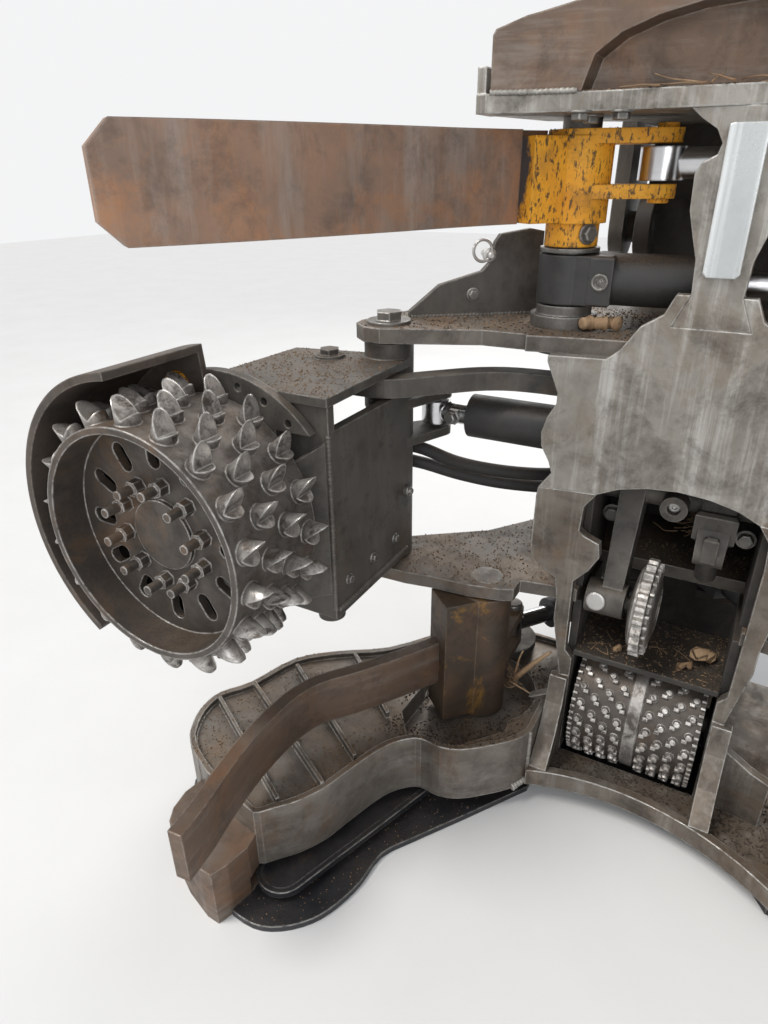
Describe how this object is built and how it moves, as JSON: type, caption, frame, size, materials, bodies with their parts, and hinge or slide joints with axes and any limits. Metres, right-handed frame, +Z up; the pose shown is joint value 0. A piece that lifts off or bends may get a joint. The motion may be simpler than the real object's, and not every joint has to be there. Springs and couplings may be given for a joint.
{
  "type": "tree harvester head",
  "caption": "Felling and delimbing head for a forestry crane, standing upright with spiked feed rollers, curved delimbing knives, saw box and tilt frame with rotator",
  "frame": {"origin": "on the floor plane in the middle plane of the head, straight below the axis of the inner feed roller", "axes": "+X to the right seen from the front (the side that takes the tree), +Y to the back where the tilt frame is, +Z up along the tree and the rotator axis"},
  "size_m": [1.974, 1.3015, 1.7],
  "materials": {
    "worn_plate": "worn bare steel plate with scratches and rust stains",
    "bright_strip": "polished wear strip with long scratches",
    "frame_dark": "dark grey paint, oily and dusty",
    "saw_floor": "black oily plate, half gloss",
    "rusty_steel": "rusty brown steel with bare patches",
    "hub_yellow": "yellow-orange paint, worn and speckled",
    "roller_steel": "dark pitted steel, bright where it wears",
    "bare_steel": "bare machined steel",
    "chain_steel": "oiled chain steel",
    "cylinder_black": "black paint, oily",
    "rod_chrome": "polished chrome rod"
  },
  "bodies": {
    "frame": {"wear_plate": "worn_plate", "wear_column": "worn_plate", "wear_insert": "bright_strip", "wear_side_left": "worn_plate", "wear_side_right": "worn_plate", "base_plate": "saw_floor", "lip_plate": "worn_plate", "saw_floor": "saw_floor", "saw_housing": "frame_dark", "nose_block": "rusty_steel", "lower_deck": "frame_dark", "upper_deck": "frame_dark", "top_band": "worn_plate", "top_knife": "rusty_steel", "spine": "frame_dark", "webs": "frame_dark", "brackets": "frame_dark", "roller_mounts": "frame_dark", "measuring_mounts": "frame_dark", "upper_pins": "bare_steel", "deck_pins": "bare_steel", "gusset": "frame_dark", "saw_motor": "frame_dark"},
    "saw": {"saw_bar": "bare_steel", "saw_chain": "chain_steel"},
    "inner_roller": {"inner_roller": "roller_steel"},
    "measuring_arm": {"measuring_arm": "roller_steel"},
    "measuring_wheel": {"measuring_wheel": "roller_steel"},
    "feed_arm_left": {"feed_arm_left": "frame_dark", "feed_motor_left": "frame_dark", "feed_guard_left": "rusty_steel"},
    "feed_roller_left": {"feed_roller_left": "roller_steel"},
    "feed_arm_right": {"feed_arm_right": "frame_dark", "feed_motor_right": "frame_dark", "feed_guard_right": "rusty_steel"},
    "feed_roller_right": {"feed_roller_right": "roller_steel"},
    "tie_bar": {"tie_bar": "frame_dark"},
    "feed_barrel": {"feed_barrel": "cylinder_black"},
    "feed_rod": {"feed_rod": "rod_chrome"},
    "tilt_frame": {"tilt_frame": "frame_dark", "rotator": "frame_dark"},
    "rotor": {"rotor": "bare_steel"},
    "tilt_barrel": {"tilt_barrel": "cylinder_black"},
    "tilt_rod": {"tilt_rod": "rod_chrome"},
    "upper_knife_left": {"upper_hub_left": "hub_yellow", "upper_blade_left": "rusty_steel"},
    "upper_barrel_left": {"upper_barrel_left": "cylinder_black"},
    "upper_rod_left": {"upper_rod_left": "rod_chrome"},
    "upper_knife_right": {"upper_hub_right": "hub_yellow", "upper_blade_right": "rusty_steel"},
    "upper_barrel_right": {"upper_barrel_right": "cylinder_black"},
    "upper_rod_right": {"upper_rod_right": "rod_chrome"},
    "lower_knife_left": {"lower_hub_left": "rusty_steel", "lower_blade_left": "rusty_steel"},
    "lower_barrel_left": {"lower_barrel_left": "cylinder_black"},
    "lower_rod_left": {"lower_rod_left": "rod_chrome"},
    "lower_knife_right": {"lower_hub_right": "rusty_steel", "lower_blade_right": "rusty_steel"},
    "lower_barrel_right": {"lower_barrel_right": "cylinder_black"},
    "lower_rod_right": {"lower_rod_right": "rod_chrome"}
  },
  "joints": [
    {"name": "saw_swing", "type": "hinge", "parent": "frame", "child": "saw", "pos_m": [-0.33, -0.07, 0.034], "axis": [0, 0, 1], "range_deg": [0, 88]},
    {"name": "inner_roller_spin", "type": "hinge", "parent": "frame", "child": "inner_roller", "pos_m": [0, 0, 0.167], "axis": [1, 0, 0], "continuous": true},
    {"name": "measuring_swing", "type": "hinge", "parent": "frame", "child": "measuring_arm", "pos_m": [0, 0.03, 0.655], "axis": [1, 0, 0], "range_deg": [0, 12], "stiffness_Nm_per_rad": 120, "springref_deg": -20.05},
    {"name": "measuring_spin", "type": "hinge", "parent": "measuring_arm", "child": "measuring_wheel", "pos_m": [-0.022, -0.075, 0.455], "axis": [1, 0, 0], "continuous": true},
    {"name": "feed_left_swing", "type": "hinge", "parent": "frame", "child": "feed_arm_left", "pos_m": [-0.56, -0.13, 0.7], "axis": [0, 0, 1], "range_deg": [0, 55]},
    {"name": "feed_right_swing", "type": "hinge", "parent": "frame", "child": "feed_arm_right", "pos_m": [0.56, -0.13, 0.7], "axis": [0, 0, 1], "range_deg": [-55, 0]},
    {"name": "feed_left_spin", "type": "hinge", "parent": "feed_arm_left", "child": "feed_roller_left", "pos_m": [-0.712, -0.577, 0.7], "axis": [0, 1, 0], "continuous": true},
    {"name": "feed_right_spin", "type": "hinge", "parent": "feed_arm_right", "child": "feed_roller_right", "pos_m": [0.712, -0.577, 0.7], "axis": [0, 1, 0], "continuous": true},
    {"name": "tie_bar_swing", "type": "hinge", "parent": "feed_arm_left", "child": "tie_bar", "pos_m": [-0.65502, -0.19653, 0.874], "axis": [0, 0, 1], "range_deg": [-48.99, 0.5]},
    {"name": "feed_barrel_swing", "type": "hinge", "parent": "feed_arm_right", "child": "feed_barrel", "pos_m": [0.5025, -0.03041, 0.775], "axis": [0, 0, 1], "range_deg": [-0.5, 55.5]},
    {"name": "feed_rod_slide", "type": "slide", "parent": "feed_barrel", "child": "feed_rod", "axis": [-1, 0, 0], "range_m": [-0.002, 0.2142]},
    {"name": "upper_left_swing", "type": "hinge", "parent": "frame", "child": "upper_knife_left", "pos_m": [-0.262, 0, 1.219], "axis": [0, 0, 1], "range_deg": [0, 65]},
    {"name": "upper_left_barrel_swing", "type": "hinge", "parent": "frame", "child": "upper_barrel_left", "pos_m": [0.262, 0, 1.234], "axis": [0, 0, 1], "range_deg": [-11.12, 0.3]},
    {"name": "upper_left_rod_slide", "type": "slide", "parent": "upper_barrel_left", "child": "upper_rod_left", "axis": [-0.9974, 0.0714, 0], "range_m": [-0.002, 0.1199]},
    {"name": "upper_right_swing", "type": "hinge", "parent": "frame", "child": "upper_knife_right", "pos_m": [0.262, 0, 1.053], "axis": [0, 0, 1], "range_deg": [-65, 0]},
    {"name": "upper_right_barrel_swing", "type": "hinge", "parent": "frame", "child": "upper_barrel_right", "pos_m": [-0.262, 0, 1.052], "axis": [0, 0, 1], "range_deg": [-0.3, 11.12]},
    {"name": "upper_right_rod_slide", "type": "slide", "parent": "upper_barrel_right", "child": "upper_rod_right", "axis": [0.9974, 0.0714, 0], "range_m": [-0.002, 0.1199]},
    {"name": "lower_left_swing", "type": "hinge", "parent": "frame", "child": "lower_knife_left", "pos_m": [-0.33, -0.13, 0.276], "axis": [0, 0, 1], "range_deg": [0, 50]},
    {"name": "lower_left_barrel_swing", "type": "hinge", "parent": "frame", "child": "lower_barrel_left", "pos_m": [-0.1, 0.27, 0.276], "axis": [0, 0, 1], "range_deg": [-9.2, 0.3]},
    {"name": "lower_left_rod_slide", "type": "slide", "parent": "lower_barrel_left", "child": "lower_rod_left", "axis": [-0.6064, -0.7951, 0], "range_m": [-0.002, 0.0942]},
    {"name": "lower_right_swing", "type": "hinge", "parent": "frame", "child": "lower_knife_right", "pos_m": [0.33, -0.13, 0.385], "axis": [0, 0, 1], "range_deg": [-50, 0]},
    {"name": "lower_right_barrel_swing", "type": "hinge", "parent": "frame", "child": "lower_barrel_right", "pos_m": [0.1, 0.27, 0.385], "axis": [0, 0, 1], "range_deg": [-0.3, 9.2]},
    {"name": "lower_right_rod_slide", "type": "slide", "parent": "lower_barrel_right", "child": "lower_rod_right", "axis": [0.6064, -0.7951, 0], "range_m": [-0.002, 0.0942]},
    {"name": "tilt_swing", "type": "hinge", "parent": "frame", "child": "tilt_frame", "pos_m": [0, 0.29, 1.12], "axis": [1, 0, 0], "range_deg": [-90, 0]},
    {"name": "rotator_spin", "type": "hinge", "parent": "tilt_frame", "child": "rotor", "pos_m": [0, 0.32, 1.65], "axis": [0, 0, 1], "continuous": true},
    {"name": "tilt_barrel_swing", "type": "hinge", "parent": "frame", "child": "tilt_barrel", "pos_m": [0, 0.42, 0.5], "axis": [1, 0, 0], "range_deg": [-1, 1]},
    {"name": "tilt_rod_slide", "type": "slide", "parent": "tilt_barrel", "child": "tilt_rod", "axis": [0, 0, 1], "range_m": [-0.256, 0.002]}
  ],
  "couplings": [
    {"joint": "feed_right_swing", "follows": "feed_left_swing", "ratio": -1},
    {"joint": "tie_bar_swing", "follows": "feed_left_swing", "ratio": -0.88169},
    {"joint": "feed_barrel_swing", "follows": "feed_left_swing", "ratio": 1},
    {"joint": "feed_rod_slide", "follows": "feed_left_swing", "m_per_rad": 0.22106},
    {"joint": "upper_left_barrel_swing", "follows": "upper_left_swing", "ratio": -0.16654},
    {"joint": "upper_left_rod_slide", "follows": "upper_left_swing", "m_per_rad": 0.10393},
    {"joint": "upper_right_barrel_swing", "follows": "upper_right_swing", "ratio": -0.16654},
    {"joint": "upper_right_rod_slide", "follows": "upper_right_swing", "m_per_rad": -0.10393},
    {"joint": "lower_left_barrel_swing", "follows": "lower_left_swing", "ratio": -0.17791},
    {"joint": "lower_left_rod_slide", "follows": "lower_left_swing", "m_per_rad": 0.10565},
    {"joint": "lower_right_barrel_swing", "follows": "lower_right_swing", "ratio": -0.17791},
    {"joint": "lower_right_rod_slide", "follows": "lower_right_swing", "m_per_rad": -0.10565},
    {"joint": "tilt_barrel_swing", "follows": "tilt_swing", "ratio": 0.0024},
    {"joint": "tilt_rod_slide", "follows": "tilt_swing", "m_per_rad": 0.1617}
  ]
}
